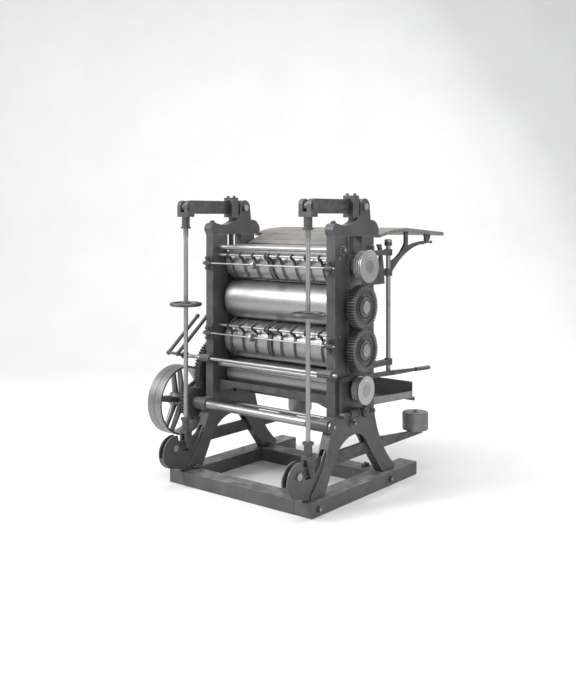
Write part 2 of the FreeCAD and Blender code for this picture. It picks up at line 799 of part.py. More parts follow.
def counterweight(name, side):
    """Cylinder that stands on the lever's tail, with a screw on top."""
    radius = number("weight_radius")
    high = number("weight_tall")
    return turned(name, "Z", [
        (0, 6, radius - 3), (6, high - 4, radius), (high - 4, high, radius - 4),
        (high, high + 8, 13)], "%d * %s" % (side, MID), "weight_y",
        "%s + 36" % LOW_UNDER)


# Cross rods and sheet guides --------------------------------------------------

def cross_rod(name, y, z, radius, reach):
    """Rod through both frames with a thicker length between them."""
    inner = number("frame_inner")
    outer = number(OUTER)
    size = number(radius)
    return turned(name, "X", [
        (-outer - reach, -outer, size + 10), (-outer, -inner, size),
        (-inner, inner, size), (inner, outer, size),
        (outer, outer + reach, size + 10)], 0, y, z)


def cross_stays():
    """Stays below the rolls, under the tray and under the apron."""
    made = []
    for name, y, z in (("lower_stay", "low_stay_y", "low_stay_height"),
                       ("tray_stay", "tray_stay_y", TRAY_STAY_Z),
                       ("board_stay", "board_stay_y", BOARD_STAY_Z)):
        made.append(cross_rod(name, y, z, "stay_radius", 14))
    return group("cross_stays", made)


def finger_places():
    pitch = number("finger_pitch")
    return [(index - 3.5) * pitch for index in range(8)]


def arc_blade(centre_z, inner, outer, start, end):
    """Ring sector round a roll, between two angles in degrees."""
    middle_y = number("roll_y")

    def at(radius, degrees):
        angle = math.radians(degrees)
        return (middle_y + radius * math.cos(angle),
                centre_z + radius * math.sin(angle))

    half = (start + end) / 2
    return [at(inner, start), (at(inner, half), at(inner, end)),
            at(outer, end), (at(outer, half), at(outer, start))]


def finger(name, x, hub_z, roll_z, roll_radius, start, end, wide, prong):
    """One sheet guide: a hub on the shaft and a blade close to the roll."""
    hub_y = number(FINGER_Y)
    shaft = number("finger_shaft_radius")
    inner = roll_radius + number("finger_gap")
    outer = inner + number("finger_thick")
    body = new_body(name, x - wide / 2)
    blade = arc_blade(roll_z, inner, outer, start, end)
    pad(body, blade, 0, wide)
    hub = shaft + 10
    pad(body, [(hub_y - hub, hub_z), ((hub_y, hub_z + hub), (hub_y + hub, hub_z)),
               ((hub_y, hub_z - hub), (hub_y - hub, hub_z))], 0, wide)
    top_y, top_z = blade[0]
    arm = [(hub_y - 9, hub_z), (hub_y + 9, hub_z + 6), (top_y + 2, top_z + 4),
           (top_y - 6, top_z - 14)]
    pad(body, arm, 0, wide)
    if prong:
        pad(body, [(hub_y + 4, hub_z + 14), (hub_y + 12, hub_z + 8),
                   (hub_y + 72, hub_z + 40), (hub_y + 70, hub_z + 45)],
            0, wide)
    pocket(body, 0, wide, circles=[(hub_y, hub_z, shaft
                                    + number("running_fit"))])
    return body


def finger_set(name, height, level, roll_radius, start, end, prong):
    hub_z = number(height)
    roll_z = number(level)
    reach = number(roll_radius)
    wide = number("finger_width")
    made = []
    for index, x in enumerate(finger_places()):
        made.append(finger("%s_%d" % (name, index), x, hub_z, roll_z, reach,
                           start, end, wide, prong))
    made.append(finger(name + "_middle", -30, hub_z, roll_z, reach,
                       start - 2, end + 4, 2.4 * wide, prong))
    return group(name, made)


def finger_shaft(name, height):
    outer = number(OUTER)
    return turned(name, "X", [
        (-outer, outer, number("finger_shaft_radius"))], 0, FINGER_Y, height)


def front_rods():
    """Two thin rods across the front, each with a round knob."""
    outer = number(OUTER)
    radius = number("front_rod_radius")
    made = []
    for name, level, knob in (("front_rod_1", FRONT1_Z, -82),
                              ("front_rod_3", FRONT3_Z, -100)):
        made.append(turned(name, "X", [
            (-outer - 12, knob - 12, radius), (knob - 12, knob - 8, 16),
            (knob - 8, knob + 8, 24), (knob + 8, knob + 12, 16),
            (knob + 12, outer + 12, radius)], 0, FRONT_ROD_Y, level))
    return group("front_rods", made)


def rod_brackets():
    """Two-bolt plates on the columns that hold the thin front rods."""
    made = []
    for side in (-1, 1):
        for row, level in ((1, FRONT1_Z), (3, FRONT3_Z)):
            tag = "rod_bracket_%d_%d" % (row, side)
            foot = box(tag + "_foot", side_middle(side, 50),
                       "frame_front - 9", "%s - 44" % level, 50, 9, 88)
            boss = rod(tag + "_boss", "X", side_middle(side, 50),
                       FRONT_ROD_Y, level, 13, 50)
            solid = [foot, boss]
            for shift in (-30, 30):
                solid.append(rod("%s_bolt_%d" % (tag, shift), "Y",
                                 "%d * %s" % (side, MID), "frame_front - 20",
                                 "%s + %d" % (level, shift), 11, 12))
            bore = rod(tag + "_bore", "X", side_middle(side, 60),
                       FRONT_ROD_Y, level,
                       "front_rod_radius + running_fit", 60)
            made.append(cut(tag, join(tag + "_solid", solid), [bore]))
    return group("rod_brackets", made)


def guide_roller():
    inner = number("frame_inner")
    outer = number(OUTER)
    small = number("finger_shaft_radius")
    return turned("guide_roller", "X", [
        (-outer, 8 - inner, small), (8 - inner, inner - 8,
                                     number("guide_radius")),
        (inner - 8, outer, small)], 0, FINGER_Y, "guide_height")


def front_plate():
    """Angle bar under the front of the lowest roll, gusseted at its ends."""
    inner = number("frame_inner")
    low = number("roll4_height") - 64
    front = number(FINGER_Y) - 6
    web = box("front_web", "-frame_inner", FINGER_Y + " - 6",
              "roll4_height - 64", "2 * frame_inner", 6, 36)
    flange = box("front_flange", "-frame_inner", FINGER_Y,
                 "roll4_height - 64", "2 * frame_inner", 40, 6)
    pieces = [web, flange]
    for side in (-1, 1):
        corners = [Vector(side * inner, front, low - 44),
                   Vector(side * inner, front, low + 2),
                   Vector(side * (inner - 150), front, low + 2),
                   Vector(side * inner, front, low - 44)]
        gusset = doc.addObject("Part::Feature", "front_gusset_%d" % (side + 2))
        face = Part.Face(Part.makePolygon(corners))
        gusset.Shape = face.extrude(Vector(0, 6, 0))
        pieces.append(gusset)
    return join("front_plate", pieces)


def shift_rod():
    left = number(PULLEY_X + " + pulley_width + 14")
    right = number(OUTER) + 26
    return turned("shift_rod", "X", [
        (-left, right, number("shift_radius"))], 0, SHIFT_Y, "shift_height")


def belt_fork():
    """Two round prongs on a short arm, one on each side of the belt."""
    reach = 330
    prong_radius = 11
    slope = Vector(0, 0.78, 0.63)
    shape = None
    rod_y = number(SHIFT_Y)
    rod_z = number("shift_height")
    near = number(PULLEY_X) - 12
    far = number(PULLEY_X + " + pulley_width") + 12
    foot_y = rod_y - 105
    foot_z = rod_z + 26
    for x in (near, far):
        foot = Vector(-x, foot_y, foot_z)
        prong = Part.makeCylinder(prong_radius, reach, foot, slope)
        prong = prong.fuse(Part.makeSphere(prong_radius + 4, foot))
        tip = foot + slope * (reach / slope.Length)
        prong = prong.fuse(Part.makeSphere(prong_radius + 3, tip))
        shape = prong if shape is None else shape.fuse(prong)
    bar = Part.makeCylinder(8, far - near, Vector(-far, foot_y, foot_z),
                            Vector(1, 0, 0))
    middle = (near + far) / 2
    arm = Part.makeCylinder(9, math.hypot(105, 26),
                            Vector(-middle, rod_y, rod_z),
                            Vector(0, foot_y - rod_y, foot_z - rod_z))
    hub = Part.makeCylinder(22, 30, Vector(-middle - 15, rod_y, rod_z),
                            Vector(1, 0, 0))
    shape = shape.fuse([bar, arm, hub])
    bore = number("shift_radius + running_fit")
    shape = shape.cut(Part.makeCylinder(bore, 80, Vector(-middle - 40, rod_y,
                                                         rod_z),
                                        Vector(1, 0, 0)))
    obj = doc.addObject("Part::Feature", "belt_fork")
    obj.Shape = shape
    return obj


# Tables -----------------------------------------------------------------------

def apron_top():
    """Top line of the apron from over the top roll to the table."""
    high = number("table_top")
    return [(20, high - 97), (125, high - 55), (180, high - 33),
            (300, high - 11), (number("table_front"), high)]


def feed_board():
    """Bent boards from the table down between the caps to the top roll."""
    thick = number("board_thick")
    top = apron_top()
    step = (172, number("table_top") - 36.2)
    inner = top[:2] + [step]
    outer = [step] + top[2:]
    pieces = []
    for name, line, half in (("inner", inner, BOARD_HALF),
                             ("outer", outer, OUTER)):
        under = [(y, z - thick) for y, z in reversed(line)]
        pieces.append(plate("apron_" + name, line + under, "-" + half,
                            "2 * " + half))
    return join("feed_board", pieces)


def table_under(y):
    """Height of the table's underside at a distance from the front."""
    front = number("table_front")
    share = (y - front) / (number("table_rear") - front)
    return number("table_top - table_thick") - share * number("table_fall")


def feed_table():
    """Board that falls a little towards its rear edge."""
    thick = number("table_thick")
    front = number("table_front")
    rear = number("table_rear")
    outline = [(front, table_under(front)), (rear, table_under(rear)),
               (rear, table_under(rear) + thick),
               (front, table_under(front) + thick)]
    return plate("feed_table", outline, "-" + OUTER, "2 * " + OUTER)


def table_posts():
    made = []
    for side in (-1, 1):
        made.append(rod("table_post_%d" % side, "Z",
                        "%d * %s" % (side, POST_X), "post_y", "post_bottom",
                        "post_radius", "post_top - post_bottom"))
    return group("table_posts", made)


def post_brackets():
    """Arms from the rear of the frames that hold the posts."""
    rear = number("frame_rear")
    post = number("post_y")
    upper = 1372
    strap = [
        (rear, upper - 172), (rear, upper - 110),
        ((post - 113, upper - 62), (post - 126, upper + 66)),
        (post - 84, upper + 66),
        ((post - 62, upper - 62), (post - 50, upper - 172)),
    ]
    made = []
    for side in (-1, 1):
        middle = "%d * %s" % (side, POST_X)
        for level in (712, upper):
            tag = "post_bracket_%d_%d" % (level, side)
            arm = box(tag + "_arm", middle + " - 18", "frame_rear", level, 36,
                      "post_y - frame_rear", 30)
            eye = rod(tag + "_eye", "Z", middle, "post_y", level - 4,
                      "post_radius + 11", 38)
            bore = rod(tag + "_bore", "Z", middle, "post_y", level - 8,
                       "post_radius + running_fit", 60)
            solid = [arm, eye]
            if level == upper:
                solid.append(plate(tag + "_strap", strap, middle + " - 8", 16))
            made.append(cut(tag, join(tag + "_solid", solid), [bore]))
    return group("post_brackets", made)


def table_bracket(side):
    """Collars on the post, curved bearer and hook under the table."""
    tag = "table_bracket_%d" % (side + 2)
    thick = 16
    middle = "%d * %s" % (side, POST_X)
    post = number("post_y")
    near = number("table_front")
    ball = 1267
    end = post + 447
    curve = [
        (post + 15, ball - 17), ((post + 142, ball + 83), (end, ball + 163)),
        (end, ball + 179), ((end - 115, ball + 173), (near + 35, ball + 151)),
        (near + 35, table_under(near + 35)), (near + 5, table_under(near + 5)),
        (near + 5, ball + 173), ((near - 30, ball + 133), (post + 15, ball + 63)),
    ]
    hook = [
        (end - 80, ball + 169), (end - 10, ball + 169),
        ((end + 33, ball + 185), (end + 47, table_under(end + 47))),
        (end - 35, table_under(end - 35)),
        ((end - 13, ball + 199), (end - 80, ball + 179)),
    ]
    start = "%s - %d" % (middle, thick // 2)
    solid = [plate(tag + "_bearer", curve, start, thick),
             plate(tag + "_hook", hook, start, thick),
             rod(tag + "_ball", "Z", middle, "post_y", ball - 22, 25, 44),
             rod(tag + "_collar", "Z", middle, "post_y", 1426, 23, 24),
             rod(tag + "_rod", "Y", middle, end - 20, ball + 171, 6, 85)]
    knob = doc.addObject("Part::Sphere", tag + "_knob")
    knob.Radius = 10
    solid.append(put(knob, middle, end + 65, ball + 171))
    bore = rod(tag + "_bore", "Z", middle, "post_y", 1230,
               "post_radius + running_fit", 260)
    return cut(tag, join(tag + "_solid", solid), [bore])


def delivery_tray():
    """Open sheet trough behind the lowest roll with a back and a lip."""
    skin = number("tray_sheet")
    front = number("tray_front")
    rear = number("tray_rear")
    high = number("tray_height")
    low = high - number("tray_fall")
    side = number("tray_wall")
    wall = [(front, high), (rear, low), (rear, low + side),
            (front, high + side)]
    tray = new_body("delivery_tray", "-frame_inner")
    pad(tray, wall, 0, "tray_sheet")
    pad(tray, wall, "2 * frame_inner - tray_sheet", "tray_sheet")
    back = rectangle(rear - skin, low, rear, low + number("tray_back"))
    pad(tray, back, 0, "2 * frame_inner")
    floor = [(front, high), (rear, low),
             ((rear + 20, low - 6), (rear + 22, low - 24)),
             (rear + 22 + skin, low - 24),
             ((rear + 21 + skin, low), (rear, low + skin)),
             (front, high + skin)]
    pad(tray, floor, 0, "2 * frame_inner")
    return tray


# Hand lever, link and crank --------------------------------------------------

def hand_lever():
    """Flat bar on the post's pin, round grip behind, link pin in front."""
    pivot = number("post_y")
    high = number("hand_height")
    ahead = number("hand_ahead")
    fall = number("hand_rise") / ahead
    grip_length = number("grip_length")
    thick = number("hand_thick")

    def at(y, off):
        """A point beside the bar's sloping middle line."""
        return (pivot + y, high - fall * y + off)

    behind = number("hand_behind") - grip_length
    outline = [
        at(-ahead, -11), at(0, -15), at(behind, -9), at(behind, 9), at(0, 15),
        at(-ahead, 11), (at(-ahead - 11, 0), at(-ahead, -11)),
    ]
    bar = plate("hand_bar", outline, HAND_X, "hand_thick")
    start_y, start_z = at(behind - 5, 0)
    grip = doc.addObject("Part::Feature", "hand_grip")
    grip.Shape = Part.makeCylinder(
        13, grip_length, Vector(number(HAND_X) + thick / 2, start_y, start_z),
        Vector(0, 1, -fall))
    pin = rod("hand_link_pin", "X", "%s + hand_thick - 2" % HAND_X,
              "post_y - hand_ahead", HAND_TIP_Z, 6, LINK_THICK + 8)
    pivot_pin = rod("hand_pivot_pin", "X", POST_X + " + post_radius + 0.3",
                    "post_y", "hand_height", 10,
                    "%s + hand_thick + 6 - %s - post_radius - 0.3"
                    % (HAND_X, POST_X))
    return join("hand_lever", [bar, grip, pin, pivot_pin])


def crank_link():
    """Thin link with an eye at each end."""
    y = number("post_y - hand_ahead")
    top = number(HAND_TIP_Z)
    low = number("crank_height")
    outline = [
        (y - 11, low + 12), (y - 11, top), ((y, top + 13), (y + 11, top)),
        (y + 11, low + 12), ((y, low - 17), (y - 11, low + 12)),
    ]
    body = new_body("crank_link", LINK_X)
    pad(body, outline, 0, LINK_THICK)
    pocket(body, 0, LINK_THICK, circles=[
        (y, top, 6 + number("running_fit")),
        (y, low, 6 + number("eye_play"))])
    return body


def crank():
    """Stub shaft in the frame with a crank arm and a small toothed wheel."""
    y = CRANK_Y
    start = "%s + %d + 0.4" % (LINK_X, LINK_THICK)
    arm = rod("crank_arm_bar", "Y", "%s + 15" % start, "post_y - hand_ahead",
              "crank_height", 13, "crank_arm")
    barrel = rod("crank_barrel", "Y", "%s + 15" % start,
                 "post_y - hand_ahead + 49", "crank_height", 22, 85)
    flange = rod("crank_flange", "Y", "%s + 15" % start,
                 "post_y - hand_ahead + 122", "crank_height", 27, 9)
    tip = rod("crank_tip", "X", start, "post_y - hand_ahead", "crank_height",
              17, 30)
    pin = rod("crank_pin", "X", "%s - 1" % LINK_X, "post_y - hand_ahead",
              "crank_height", 6, 14)
    hub = rod("crank_hub", "X", start, y, "crank_height", 20, 32)
    stub = rod("crank_stub", "X", "frame_inner", y, "crank_height", 12,
               "%s - frame_inner + 60" % start)
    wheel = spur_gear("crank_wheel", 14, 4, 22, 12 + number("running_fit"), 0, 0)
    put(wheel, "%s + 32" % start, y, "crank_height")
    return group("crank", [join("crank_arm", [arm, barrel, flange, tip, pin,
                                     hub, stub]),
                           wheel])


# Assembly ----------------------------------------------------------------------

def sided(builder, stem):
    made = {}
    for word, side in (("left", -1), ("right", 1)):
        name = "%s_%s" % (stem, word)
        made[name] = builder(name, side)
    return made


def fulcrum_pins():
    """Ear pins above and horn pins below, the same pin four times."""
    half = number("frame_thick") / 2 + 0.5
    horn = half - number("horn_recess")
    pins = []
    for side in (-1, 1):
        pins.append(headed_pin("ear_pin_%d" % side, side, "ear_y",
                               "lever_height", half))
        pins.append(headed_pin("horn_pin_%d" % side, side, FULCRUM_Y,
                               "low_pin_height", horn))
    return group("fulcrum_pins", pins)


def build():
    nodes = {}
    nodes.update(base())
    for builder, stem in (
            (side_frame, "side_frame"), (cap, "frame_cap"),
            (bearing_blocks, "bearing_blocks"), (upper_lever, "upper_lever"),
            (stirrup, "stirrup"), (clevis, "clevis"),
            (tension_rod, "tension_rod"), (handwheel, "handwheel"),
            (rod_fork, "rod_fork"), (lower_lever, "lower_lever"),
            (counterweight, "counterweight")):
        nodes.update(sided(builder, stem))
    nodes.update(rolls())
    nodes.update(roll_gears())
    nodes["end_disc_1"] = end_disc("end_disc_1", ROLL1_Z,
                                   number("disc1_radius"),
                                   GEAR_X + " + disc1_extra")
    nodes["end_disc_4"] = end_disc("end_disc_4", ROLL4_Z,
                                   number("disc4_radius"), GEAR_X)
    nodes.update(drive())
    nodes["fast_pulley"] = pulley("fast_pulley",
                                  "-(%s + pulley_width)" % PULLEY_X)
    nodes["loose_pulley"] = pulley(
        "loose_pulley", "-(%s + 2 * pulley_width + pulley_gap)" % PULLEY_X)
    nodes["fulcrum_pins"] = fulcrum_pins()
    nodes["top_stay"] = cross_rod("top_stay", "top_stay_y",
                                  "top_stay_height", "top_stay_radius", 16)
    nodes["cross_stays"] = cross_stays()
    nodes["finger_shaft_upper"] = finger_shaft("finger_shaft_upper",
                                               FINGER1_Z)
    nodes["guide_fingers_upper"] = finger_set(
        "guide_fingers_upper", FINGER1_Z, ROLL1_Z, "roll1_radius",
        178, 238, False)
    nodes["finger_shaft_lower"] = finger_shaft("finger_shaft_lower",
                                               FINGER3_Z)
    nodes["guide_fingers_lower"] = finger_set(
        "guide_fingers_lower", FINGER3_Z, ROLL3_Z, "roll3_radius",
        154, 214, True)
    nodes["front_rods"] = front_rods()
    nodes["rod_brackets"] = rod_brackets()
    nodes["guide_roller"] = guide_roller()
    nodes["front_plate"] = front_plate()
    nodes["shift_rod"] = shift_rod()
    nodes["belt_fork"] = belt_fork()
    nodes["feed_board"] = feed_board()
    nodes["feed_table"] = feed_table()
    nodes["table_posts"] = table_posts()
    nodes["post_brackets"] = post_brackets()
    nodes["table_brackets"] = group("table_brackets",
                                    [table_bracket(-1), table_bracket(1)])
    nodes["delivery_tray"] = delivery_tray()
    nodes["hand_lever"] = hand_lever()
    nodes["crank_link"] = crank_link()
    nodes["crank"] = crank()
    return nodes


def write(nodes):
    for obj in doc.Objects:
        if "Invalid" in obj.State or "Error" in obj.State:
            raise RuntimeError("%s did not build" % obj.Name)
    os.makedirs("parts", exist_ok=True)
    to_origin = Vector(0, -number(ORIGIN_Y), 0)
    for name, obj in nodes.items():
        obj.Label = name
        shape = obj.Shape.copy()
        if shape.isNull() or not shape.isValid():
            raise RuntimeError("%s has no valid shape" % name)
        shape.translate(to_origin)
        shape.exportStep("parts/%s.step" % name)
        print(name, len(shape.Solids), round(shape.Volume))


nodes = build()
doc.recompute()
write(nodes)
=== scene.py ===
import json
import math

import bmesh
import bpy
from mathutils import Matrix, Vector


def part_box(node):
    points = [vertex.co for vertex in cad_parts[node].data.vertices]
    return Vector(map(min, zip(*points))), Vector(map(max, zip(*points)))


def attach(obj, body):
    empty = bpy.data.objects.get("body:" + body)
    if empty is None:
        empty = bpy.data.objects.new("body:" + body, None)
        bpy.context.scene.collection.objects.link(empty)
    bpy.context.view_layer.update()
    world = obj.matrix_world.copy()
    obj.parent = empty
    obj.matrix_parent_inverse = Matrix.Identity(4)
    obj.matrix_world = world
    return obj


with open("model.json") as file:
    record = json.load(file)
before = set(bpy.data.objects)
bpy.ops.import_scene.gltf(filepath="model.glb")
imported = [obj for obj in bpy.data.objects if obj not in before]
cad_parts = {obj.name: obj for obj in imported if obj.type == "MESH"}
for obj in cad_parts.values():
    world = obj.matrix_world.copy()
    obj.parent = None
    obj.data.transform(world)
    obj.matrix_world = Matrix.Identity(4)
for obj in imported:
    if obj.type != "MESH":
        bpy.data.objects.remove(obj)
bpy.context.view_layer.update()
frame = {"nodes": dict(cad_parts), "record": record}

# Four-roll press with weighted levers: finishes and small fittings.
# Metres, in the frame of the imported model: +X to the gear side, -Y to the
# working side, +Z up, origin on the floor under the rear cross beam.

NODES = frame["nodes"]
WORDS = ("left", "right")
SIDES = (("left", -1), ("right", 1))

CRISP_ANGLE = math.radians(38)
SHADE_ANGLE = math.radians(35)
WELD_REACH = 1e-6


# Places read from the model --------------------------------------------------

def solids(node):
    """Lowest and highest corner of every separate solid in a node."""
    work = bmesh.new()
    work.from_mesh(NODES[node].data)
    bmesh.ops.remove_doubles(work, verts=work.verts, dist=WELD_REACH)
    work.verts.ensure_lookup_table()
    seen = set()
    boxes = []
    for start in work.verts:
        if start.index in seen:
            continue
        seen.add(start.index)
        stack = [start]
        low = start.co.copy()
        high = start.co.copy()
        while stack:
            vert = stack.pop()
            low = Vector(map(min, low, vert.co))
            high = Vector(map(max, high, vert.co))
            for edge in vert.link_edges:
                other = edge.other_vert(vert)
                if other.index not in seen:
                    seen.add(other.index)
                    stack.append(other)
        boxes.append((low, high))
    work.free()
    return sorted(boxes, key=lambda box: tuple(box[0]))


# Materials -------------------------------------------------------------------

class Nodes:
    """A material's node tree with short calls."""

    def __init__(self, name):
        self.material = bpy.data.materials.new(name)
        self.material.use_nodes = True
        self.tree = self.material.node_tree
        self.tree.nodes.clear()
        self.output = self.tree.nodes.new("ShaderNodeOutputMaterial")
        self.shader = self.tree.nodes.new("ShaderNodeBsdfPrincipled")
        self.link(self.shader.outputs[0], self.output.inputs["Surface"])
        self.place = self.tree.nodes.new("ShaderNodeTexCoord").outputs["Object"]

    def link(self, start, end):
        self.tree.links.new(start, end)

    def set(self, **values):
        for name, value in values.items():
            self.shader.inputs[name.replace("_", " ")].default_value = value

    def stretched(self, scale):
        """The object's own place, scaled differently along each axis."""
        node = self.tree.nodes.new("ShaderNodeMapping")
        node.inputs["Scale"].default_value = scale
        self.link(self.place, node.inputs["Vector"])
        return node.outputs[0]

    def noise(self, scale, detail=4, rough=0.55, place=None):
        node = self.tree.nodes.new("ShaderNodeTexNoise")
        node.inputs["Scale"].default_value = scale
        node.inputs["Detail"].default_value = detail
        node.inputs["Roughness"].default_value = rough
        self.link(place or self.place, node.inputs["Vector"])
        return node.outputs["Fac"]

    def ramp(self, fac, *stops):
        node = self.tree.nodes.new("ShaderNodeValToRGB")
        ramp = node.color_ramp
        while len(ramp.elements) < len(stops):
            ramp.elements.new(0.5)
        for element, (position, colour) in zip(ramp.elements, stops):
            element.position = position
            element.color = tuple(colour) + (1,)
        self.link(fac, node.inputs["Fac"])
        return node.outputs["Color"]

    def span(self, fac, low, high, from_low=0.3, from_high=0.7):
        node = self.tree.nodes.new("ShaderNodeMapRange")
        node.inputs["From Min"].default_value = from_low
        node.inputs["From Max"].default_value = from_high
        node.inputs["To Min"].default_value = low
        node.inputs["To Max"].default_value = high
        self.link(fac, node.inputs["Value"])
        return node.outputs[0]

    def mix(self, fac, first, second):
        node = self.tree.nodes.new("ShaderNodeMix")
        node.data_type = "RGBA"
        self.link(fac, node.inputs["Factor"])
        self.link(first, node.inputs["A"])
        if isinstance(second, tuple):
            node.inputs["B"].default_value = second + (1,)
        else:
            self.link(second, node.inputs["B"])
        return node.outputs["Result"]

    def math(self, kind, first, second):
        node = self.tree.nodes.new("ShaderNodeMath")
        node.operation = kind
        node.use_clamp = kind != "SUBTRACT"
        for slot, value in enumerate((first, second)):
            if isinstance(value, (int, float)):
                node.inputs[slot].default_value = value
            else:
                self.link(value, node.inputs[slot])
        return node.outputs[0]

    def bump(self, height, strength, depth, after=None):
        node = self.tree.nodes.new("ShaderNodeBump")
        node.inputs["Strength"].default_value = strength
        node.inputs["Distance"].default_value = depth
        self.link(height, node.inputs["Height"])
        if after is not None:
            self.link(after, node.inputs["Normal"])
        return node.outputs[0]

    def upward(self):
        """1 on faces that look up, 0 on the rest."""
        geometry = self.tree.nodes.new("ShaderNodeNewGeometry")
        split = self.tree.nodes.new("ShaderNodeSeparateXYZ")
        self.link(geometry.outputs["Normal"], split.inputs[0])
        return self.span(split.outputs["Z"], 0, 1, 0.55, 0.95)

    def edges(self, radius):
        """1 near sharp edges, 0 on open faces."""
        bevel = self.tree.nodes.new("ShaderNodeBevel")
        bevel.samples = 6
        bevel.inputs["Radius"].default_value = radius
        geometry = self.tree.nodes.new("ShaderNodeNewGeometry")
        dot = self.tree.nodes.new("ShaderNodeVectorMath")
        dot.operation = "DOT_PRODUCT"
        self.link(bevel.outputs[0], dot.inputs[0])
        self.link(geometry.outputs["Normal"], dot.inputs[1])
        return self.span(dot.outputs["Value"], 1, 0, 0.86, 0.985)


def cast_iron(name, dark, light, worn, rough=(0.42, 0.62), dust=0.35):
    """Painted casting: sand texture, uneven paint, worn edges, dust on top."""
    n = Nodes(name)
    cloud = n.noise(5.5, 6, 0.6)
    colour = n.ramp(cloud, (0.32, dark), (0.68, light))
    scuff = n.math("MULTIPLY", n.edges(0.004),
                   n.span(n.noise(38, 5, 0.65), 0, 1, 0.42, 0.62))
    colour = n.mix(scuff, colour, worn)
    grime = n.math("MULTIPLY", n.upward(),
                   n.span(n.noise(17, 4), 0, dust, 0.35, 0.7))
    colour = n.mix(grime, colour, (0.42, 0.41, 0.39))
    n.link(colour, n.shader.inputs["Base Color"])
    n.link(n.span(n.noise(23, 3), *rough), n.shader.inputs["Roughness"])
    grain = n.bump(n.noise(520, 3, 0.6), 0.28, 0.0006)
    wave = n.bump(n.noise(26, 3), 0.12, 0.004, grain)
    n.link(wave, n.shader.inputs["Normal"])
    n.set(Metallic=0.0)
    n.shader.inputs["Specular IOR Level"].default_value = 0.55
    return n.material


def turned_steel(name, dark, light, along, rough=(0.2, 0.38), stain=0.4,
                 metallic=0.95):
    """Bright metal with fine tool lines round the axis and faint stains."""
    n = Nodes(name)
    lines = [900 if axis == along else 4 for axis in "XYZ"]
    tool = n.noise(1.0, 2, 0.7, n.stretched(lines))
    colour = n.ramp(tool, (0.25, dark), (0.75, light))
    patch = n.span(n.noise(9, 6, 0.62), 0, stain, 0.5, 0.72)
    colour = n.mix(patch, colour, tuple(0.55 * part for part in dark))
    n.link(colour, n.shader.inputs["Base Color"])
    smear = n.math("ADD", n.span(tool, 0, 0.08),
                   n.span(n.noise(14, 5), *rough))
    n.link(smear, n.shader.inputs["Roughness"])
    n.link(n.bump(tool, 0.12, 0.0003), n.shader.inputs["Normal"])
    n.set(Metallic=metallic)
    return n.material


def forged(name, dark, light, rough=(0.45, 0.65)):
    """Blackened wrought bar with hammer dapple and rubbed edges."""
    n = Nodes(name)
    colour = n.ramp(n.noise(14, 6, 0.62), (0.3, dark), (0.7, light))
    rub = n.math("MULTIPLY", n.edges(0.003),
                 n.span(n.noise(60, 4), 0.1, 0.9, 0.4, 0.6))
    colour = n.mix(rub, colour, (0.34, 0.34, 0.34))
    n.link(colour, n.shader.inputs["Base Color"])
    n.link(n.span(n.noise(30, 4), *rough), n.shader.inputs["Roughness"])
    dapple = n.bump(n.noise(75, 3, 0.5), 0.2, 0.002)
    n.link(n.bump(n.noise(600, 2), 0.18, 0.0005, dapple),
           n.shader.inputs["Normal"])
    n.set(Metallic=0.55)
    return n.material


def boards(name, dark, light, width):
    """Long boards across the machine; a seam comes once in each width."""
    n = Nodes(name)
    grain = n.noise(1.0, 8, 0.68, n.stretched((3.2, 60, 40)))
    fine = n.noise(1.0, 3, 0.6, n.stretched((9, 420, 300)))
    colour = n.ramp(grain, (0.28, dark), (0.55, light),
                    (0.78, tuple(0.82 * part for part in light)))
    colour = n.mix(n.span(fine, 0, 0.35), colour,
                   tuple(0.55 * part for part in dark))
    wave = n.tree.nodes.new("ShaderNodeTexWave")
    wave.wave_type = "BANDS"
    wave.bands_direction = "Y"
    wave.wave_profile = "SAW"
    wave.inputs["Scale"].default_value = 2 * math.pi / (20 * width)
    n.link(n.place, wave.inputs["Vector"])
    seam = n.span(wave.outputs["Fac"], 0, 1, 0.955, 0.985)
    colour = n.mix(seam, colour, (0.02, 0.018, 0.015))
    wear = n.span(n.noise(7, 5), 0, 0.3, 0.45, 0.7)
    colour = n.mix(wear, colour, (0.36, 0.33, 0.29))
    n.link(colour, n.shader.inputs["Base Color"])
    n.link(n.span(grain, 0.5, 0.72), n.shader.inputs["Roughness"])
    rough = n.bump(fine, 0.25, 0.0006)
    n.link(n.bump(n.math("SUBTRACT", grain, seam), 0.4, 0.0015, rough),
           n.shader.inputs["Normal"])
    return n.material


def sheet_iron(name, dark, light):
    """Tinned sheet: soft mottling, wipe marks and slight oil canning."""
    n = Nodes(name)
    colour = n.ramp(n.noise(7, 6, 0.6), (0.3, dark), (0.7, light))
    wipe = n.noise(1.0, 4, 0.6, n.stretched((2, 40, 30)))
    colour = n.mix(n.span(wipe, 0, 0.3), colour, (0.30, 0.30, 0.29))
    n.link(colour, n.shader.inputs["Base Color"])
    n.link(n.span(n.noise(20, 5), 0.3, 0.5), n.shader.inputs["Roughness"])
    n.link(n.bump(n.noise(3, 2), 0.3, 0.01, n.bump(wipe, 0.1, 0.0004)),
           n.shader.inputs["Normal"])
    n.set(Metallic=0.7)
    return n.material


